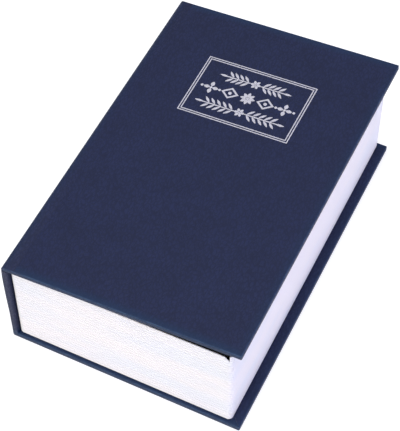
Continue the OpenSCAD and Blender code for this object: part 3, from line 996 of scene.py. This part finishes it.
class MONEYBOX_OT_fold(bpy.types.Operator):
    """Lays the covering over the fold and turns it in over the spine board"""

    bl_idname = "moneybox.fold"
    bl_label = "Cover Fold"

    def execute(self, context):
        crest = (CASE_LOW.x - 0.3 * MM, -BOARD_H, 0), (CASE_HIGH.x, BOARD_H, FOLD.z + COVER_T + 0.2 * MM)
        cloth = leatherette("fold_leatherette", [crest])
        strip = finish_piece(fold_strip(context.scene.money_box_case), cloth)
        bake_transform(strip)
        finish_piece(spine_turn_in(), cloth, "case")
        return {"FINISHED"}


class MONEYBOX_OT_page_block(bpy.types.Operator):
    """Gives the page block its material"""

    bl_idname = "moneybox.page_block"
    bl_label = "Finish Page Block"

    def execute(self, context):
        dress(page_plastic(), "page_block")
        return {"FINISHED"}


class MONEYBOX_OT_steel(bpy.types.Operator):
    """Gives the steel box, its hinge and the small steel parts their materials"""

    bl_idname = "moneybox.steel"
    bl_label = "Finish Steel Parts"

    def execute(self, context):
        dress(powder_coat(), "steel_box", "steel_lid", "box_hinge_leaf", "lid_hinge_leaf")
        small = ("box_screws", "hinge_pin", "box_leaf_rivets", "lid_leaf_rivets")
        dress(zinc_plate(), *small, "lock_washer", "lock_nut", "lock_cam", "cam_screw")
        return {"FINISHED"}


class MONEYBOX_OT_lock(bpy.types.Operator):
    """Finishes the lock and cuts the thread of its barrel"""

    bl_idname = "moneybox.lock"
    bl_label = "Finish Lock"

    def execute(self, context):
        chrome = chrome_plate()
        dress(chrome, "lock_housing", "lock_plug")
        dress(wafer_brass(), "lock_wafers")
        finish_piece(barrel_thread(context.scene.money_box_lock), chrome, "lid")
        return {"FINISHED"}


class MONEYBOX_OT_foil(bpy.types.Operator):
    """Stamps the double rule and three rows of ornament on the front cover"""

    bl_idname = "moneybox.foil"
    bl_label = "Stamp Foil Panel"

    def execute(self, context):
        foil = context.scene.money_box_foil
        silver = silver_foil()
        inner = 2 * (foil.rule + foil.rule_gap)
        rules = [
            rule_frame(foil.panel_w, foil.panel_h, foil.rule, foil.film),
            rule_frame(foil.panel_w - inner, foil.panel_h - inner, foil.rule, foil.film),
        ]
        stamp("foil_double_rule", rules, foil, silver)
        upper = foil_garland(foil.upper_w, foil.pairs, foil)
        stamp("foil_upper_garland", upper, foil, silver, up=foil.row)
        lower = foil_garland(foil.lower_w, round(foil.pairs * foil.lower_w / foil.upper_w), foil)
        stamp("foil_lower_garland", lower, foil, silver, up=-foil.row)
        # Middle row: a star, then on both sides a lozenge, a dot, a cross of petals and a dot
        petal, dot = 3.2 * MM, 0.7 * MM
        middle = foil_rosette(8, petal, foil)
        for side in (-1, 1):
            middle += moved(foil_lozenge(9.0 * MM, 7.2 * MM, foil), side * 9.1 * MM)
            middle += moved(foil_rosette(4, petal, foil), side * 19.0 * MM)
            for place in (14.5 * MM, 23.7 * MM):
                middle += moved([foil_dot(dot, foil.film)], side * place)
        stamp("foil_middle_row", middle, foil, silver)
        return {"FINISHED"}


class MONEYBOX_OT_studio(bpy.types.Operator):
    """Sets up the floor, the lights and the camera"""

    bl_idname = "moneybox.studio"
    bl_label = "Set Up Studio"

    def execute(self, context):
        studio = context.scene.money_box_studio
        start()
        bpy.ops.mesh.primitive_plane_add(size=12, location=(0, 0, -0.2 * MM))
        floor = context.object
        floor.name = "floor"
        floor.data.materials.append(table_top())

        world = bpy.data.worlds.new("room")
        context.scene.world = world
        world.use_nodes = True
        room = world.node_tree.nodes["Background"]
        room.inputs["Color"].default_value = colour(studio.sky_colour)
        room.inputs["Strength"].default_value = studio.sky

        for name, place, size, power, tint in SOFTBOXES:
            light = bpy.data.lights.new(name, "AREA")
            light.shape = "DISK"
            light.size = size
            light.energy = power
            light.color = tint
            lamp = bpy.data.objects.new(name, light)
            context.scene.collection.objects.link(lamp)
            lamp.location = place
            aim = Vector((0, 0, CASE_HIGH.z / 2)) - lamp.location
            lamp.rotation_euler = aim.to_track_quat("-Z", "Y").to_euler()

        bpy.ops.object.camera_add()
        camera = context.object
        camera.name = "camera"
        away = CAMERA_RIGHT.cross(CAMERA_UP)
        turn = Matrix((CAMERA_RIGHT, CAMERA_UP, away)).transposed()
        camera.matrix_world = Matrix.Translation(CAMERA_PLACE) @ turn.to_4x4()
        camera.data.sensor_width = SENSOR_W
        camera.data.lens = studio.lens
        camera.data.clip_start = 0.01
        context.scene.camera = camera
        context.scene.view_settings.view_transform = "Standard"
        return {"FINISHED"}


class MONEYBOX_PT_sidebar(bpy.types.Panel):
    """Lists the steps that build the money box"""

    bl_idname = "MONEYBOX_PT_sidebar"
    bl_label = "Money Box"
    bl_space_type = "VIEW_3D"
    bl_region_type = "UI"
    bl_category = "Money Box"

    def draw(self, context):
        for step in STEPS:
            self.layout.operator(step.bl_idname)


STEPS = (
    MONEYBOX_OT_case,
    MONEYBOX_OT_fold,
    MONEYBOX_OT_page_block,
    MONEYBOX_OT_steel,
    MONEYBOX_OT_lock,
    MONEYBOX_OT_foil,
    MONEYBOX_OT_studio,
)


def register():
    for name, group in SETTINGS.items():
        bpy.utils.register_class(group)
        setattr(bpy.types.Scene, name, PointerProperty(type=group))
    for cls in (*STEPS, MONEYBOX_PT_sidebar):
        bpy.utils.register_class(cls)


def unregister():
    for cls in (MONEYBOX_PT_sidebar, *reversed(STEPS)):
        bpy.utils.unregister_class(cls)
    for name, group in SETTINGS.items():
        delattr(bpy.types.Scene, name)
        bpy.utils.unregister_class(group)


def main():
    """Registers the add-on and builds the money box."""
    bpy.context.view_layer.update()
    register()
    for step in STEPS:
        operator_set, operator = step.bl_idname.split(".")
        getattr(getattr(bpy.ops, operator_set), operator)()
    start()


if __name__ == "__main__":
    main()
